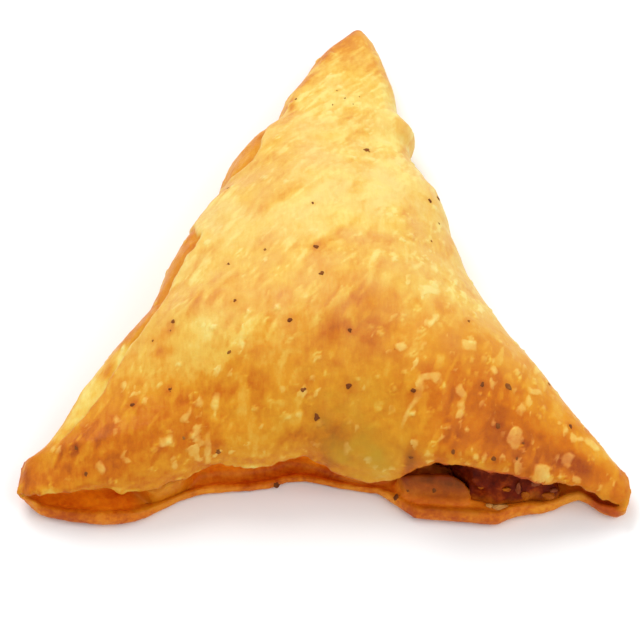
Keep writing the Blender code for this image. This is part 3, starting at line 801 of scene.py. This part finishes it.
def spice_material():
    n = Nodes("cracked_spice")
    darker = n.maths("MULTIPLY", n.attribute("dark"), -0.75)
    shade = n.maths("MULTIPLY_ADD", n.noise(1500, 3), 0.5, darker)
    colour = n.ramp(
        n.maths("ADD", shade, 0.6),
        [(0.0, (0.12, 0.029, 0.007)), (0.45, (0.22, 0.068, 0.013)), (0.9, (0.43, 0.20, 0.04))],
    )
    n.shader.inputs["Specular IOR Level"].default_value = 0.06
    n.set(n.shader.inputs["Base Color"], colour)
    n.set(n.shader.inputs["Roughness"], n.maths("MULTIPLY_ADD", n.noise(900), 0.3, 0.4))
    n.bump(n.noise(3000), 0.5, 0.0002)
    return n.material


settle("crust", crust_mesh, crust_material(), "pastry")

# ---------------------------------------------------------------- the filling

FILLING_CELL = 0.6  # how finely the filling is modelled, in mm
UPRIGHT = np.identity(3)
LUMP_DETAIL = 4
LUMP_WOBBLE = 0.1
BIT_WOBBLE = 0.3
FILLING_RELAX_ROUNDS = 12

# Mash that fills the pocket up to the base sheet's rim, each (x, y, z, width, depth, height)
mash = [
    (28.6, 7.0, 5.4, 6.5, 5.0, 7.0),
    (32.2, 6.6, 5.2, 7.0, 5.0, 7.0),
    (35.8, 6.9, 5.0, 6.5, 4.6, 6.5),
    (39.0, 6.8, 4.4, 5.6, 4.2, 5.4),
    (29.6, 8.8, 9.0, 9.0, 5.5, 7.0),
    (34.6, 8.8, 8.6, 9.0, 5.5, 6.5),
    (38.8, 8.4, 6.8, 5.5, 4.4, 5.0),
    (27.4, 5.9, 3.6, 4.6, 3.4, 4.0),
    (30.6, 5.4, 3.5, 5.4, 3.6, 4.0),
    (34.0, 5.4, 3.5, 5.4, 3.4, 4.0),
    (37.4, 5.8, 3.4, 5.0, 3.2, 3.8),
    (40.4, 6.0, 3.2, 3.6, 2.8, 3.2),
    (25.8, 9.4, 5.5, 5.5, 4.4, 7.5),
]

# Bits in the mash, each (x, y, z, width, depth, height, kind): 0.5 glassy, 0.75 onion, 1 crumb
bits = [
    (34.6, 4.9, 5.4, 1.1, 1.0, 4.2, 0.75),
    (35.8, 4.6, 4.2, 1.8, 1.0, 2.4, 0.5),
    (39.7, 5.0, 4.0, 2.8, 1.4, 2.2, 0.5),
    (30.4, 4.3, 3.6, 2.6, 1.0, 1.2, 0.5),
    (37.6, 5.6, 6.6, 2.2, 1.0, 1.4, 0.75),
    (31.6, 2.9, 2.9, 2.6, 1.6, 0.9, 1.0),
    (29.6, 3.4, 2.9, 1.2, 0.9, 0.6, 1.0),
    (28.0, 4.9, 6.6, 1.0, 0.6, 0.8, 0.5),
    (32.6, 4.4, 6.6, 1.4, 0.7, 0.8, 0.5),
    (41.0, 5.2, 5.2, 1.4, 0.9, 0.9, 0.75),
]


def lump(shape, place, axes, size, detail, wobble):
    """Adds one closed irregular lump to a mesh: axes are its own directions, size its widths."""
    made = bmesh.ops.create_icosphere(shape, subdivisions=detail, radius=0.5)["verts"]
    body = np.array([v.co for v in made])
    body *= 1 + wobble * rough(body + np.array(place) * 3.1, 0.55, 3, 7)[:, None]
    for vertex, point in zip(made, (body * size) @ axes + place):
        vertex.co = Vector(point + (0, SEAM_Y, 0)) * MM
    return made


def lumps(name, pieces, attribute, material):
    """One piece made of many lumps, each with a value for the material to read."""
    shape = bmesh.new()
    values = []
    for place, axes, size, detail, wobble, value in pieces:
        values += [value] * len(lump(shape, place, axes, size, detail, wobble))
    mesh = bpy.data.meshes.new(name)
    shape.to_mesh(mesh)
    shape.free()
    carry(mesh, attribute, np.array(values))
    settle(name, mesh, material)


heap = welded("filling")
for row in mash:
    lump(heap, row[:3], UPRIGHT, row[3:], LUMP_DETAIL, LUMP_WOBBLE)
filling_mesh = remeshed(heap, FILLING_CELL)
core = read(filling_mesh)
core = relax(core, neighbours(filling_mesh), np.ones(len(core)), FILLING_RELAX_ROUNDS)
write(filling_mesh, core)
uneven = 0.30 * rough(core, 2.6, 3, 5) + 0.10 * rough(core, 0.9, 1, 6)
core += normals(filling_mesh) * uneven[:, None]
write(filling_mesh, core)

# Mash low in the pocket is a little glassier
lighter = smooth(core[:, 2] + rough(core, 2.0, 2, 9), 5.2, 2.6)
carry(filling_mesh, "kind", 0.29 + 0.12 * lighter)
filling_look = filling_material()
settle("spiced_filling", filling_mesh, filling_look, "filling")
loose = [(row[:3], UPRIGHT, row[3:6], LUMP_DETAIL, BIT_WOBBLE, row[6]) for row in bits]
lumps("filling_bits", loose, "kind", filling_look)

# ---------------------------------------------------------------- cracked spices on the crust

SPICE_SINK = 0.14  # how deep a speck sits, as a share of its size
SPICE_DETAIL = 3
SPICE_WOBBLE = 0.4
SPICE_COUNT = 95
SPICE_SHARE_BELOW = 0.6  # of the specks scattered out of sight
ABOVE, BELOW = 60, -20  # heights well clear of the crust

crust_tree = BVHTree.FromPolygons(
    [Vector(p) for p in read(crust_mesh)], [p.vertices[:] for p in crust_mesh.polygons]
)
random = np.random.default_rng(20)
sites = []
for *place, size, dark in upper_specks:
    sites.append((crust_tree.ray_cast((*place, ABOVE), (0, 0, -1)), size, dark))

# Specks on the base sheet's rim and the tongue, each (x, y, z, size, darkness)
front_specks = [(12.7, 5.4, 3.4, 1.1, 1.0), (19.6, 4.6, 5.6, 1.1, 0.8), (-8.3, 8.4, 1.2, 1.1, 1.0)]
for *place, size, dark in front_specks:
    sites.append((crust_tree.find_nearest(place), size, dark))

# The rest are scattered over the underside and the steep sides
while len(sites) < SPICE_COUNT:
    place = random.uniform(-50, 50), random.uniform(6, 104)
    from_below = random.random() < SPICE_SHARE_BELOW
    if from_below:
        hit = crust_tree.ray_cast((*place, BELOW), (0, 0, 1))
    else:
        hit = crust_tree.ray_cast((*place, ABOVE), (0, 0, -1))
    if hit[0] is not None and (from_below or hit[1][2] < 0.75):
        sites.append((hit, random.uniform(0.4, 1.1), random.uniform(0.3, 1.0)))


def speck(site, size, dark):
    """One cracked spice, lying flat on the crust with a random turn."""
    place, normal = site[:2]
    turn = random.uniform(0, 2 * math.pi)
    along = Vector((math.cos(turn), math.sin(turn), 0.01)).cross(normal).normalized()
    axes = np.array([along, normal.cross(along), normal])
    widths = size * np.array([1.1, random.uniform(0.75, 1.0), random.uniform(0.4, 0.6)])
    sunk = np.array(place - normal * size * SPICE_SINK)
    return sunk, axes, widths, SPICE_DETAIL, SPICE_WOBBLE, dark


lumps("cracked_spices", [speck(*s) for s in sites], "dark", spice_material())

# ---------------------------------------------------------------- stage, light and camera

AIM = Vector((-0.72, -15.85, 10.0)) * MM
VIEW_ELEVATION = math.radians(55)
VIEW_DISTANCE = 1.2
SENSOR = 36
LENS = 373.3
WORLD_STRENGTH = 0.88
FLOOR_RADIUS = 2.5

scene = bpy.context.scene


def look_from(thing, place, aim):
    """Puts a camera or a light in the scene, turned towards what it looks at."""
    thing.location = place
    thing.rotation_mode = "QUATERNION"
    thing.rotation_quaternion = (Vector(aim) - Vector(place)).to_track_quat("-Z", "Y")
    scene.collection.objects.link(thing)


lens = bpy.data.cameras.new("camera")
lens.sensor_width = SENSOR
lens.lens = LENS
lens.clip_start = 0.05
lens.clip_end = 20
camera = bpy.data.objects.new("camera", lens)
toward_viewer = Vector((0, -math.cos(VIEW_ELEVATION), math.sin(VIEW_ELEVATION)))
look_from(camera, AIM + toward_viewer * VIEW_DISTANCE, AIM)
scene.camera = camera


def soft_light(name, place, size, watts):
    """A round lamp that shines on the samosa from this place, in metres."""
    lamp = bpy.data.lights.new(name, "AREA")
    lamp.shape = "DISK"
    lamp.size = size
    lamp.energy = watts
    look_from(bpy.data.objects.new(name, lamp), Vector(place), (0, 0, 0.01))


soft_light("key", (-0.25, 0.45, 0.75), 0.5, 3.7)
soft_light("fill", (0.5, -0.25, 0.6), 0.6, 1.4)

world = bpy.data.worlds.new("studio")
world.use_nodes = True
background = world.node_tree.nodes["Background"]
background.inputs["Color"].default_value = (1, 1, 1, 1)
background.inputs["Strength"].default_value = WORLD_STRENGTH
scene.world = world
scene.view_settings.view_transform = "Standard"
scene.view_settings.look = "None"

floor_mesh = bpy.data.meshes.new("floor")
floor_shape = bmesh.new()
bmesh.ops.create_circle(floor_shape, cap_ends=True, segments=96, radius=FLOOR_RADIUS)
floor_shape.to_mesh(floor_mesh)
floor_shape.free()
floor = bpy.data.objects.new("floor", floor_mesh)
scene.collection.objects.link(floor)
paper = Nodes("floor_paper")
paper.set(
    paper.shader.inputs["Base Color"],
    paper.ramp(paper.noise(30), [(0.3, (0.90, 0.90, 0.90)), (0.7, (0.92, 0.92, 0.92))]),
)
paper.shader.inputs["Roughness"].default_value = 0.9
floor_mesh.materials.append(paper.material)
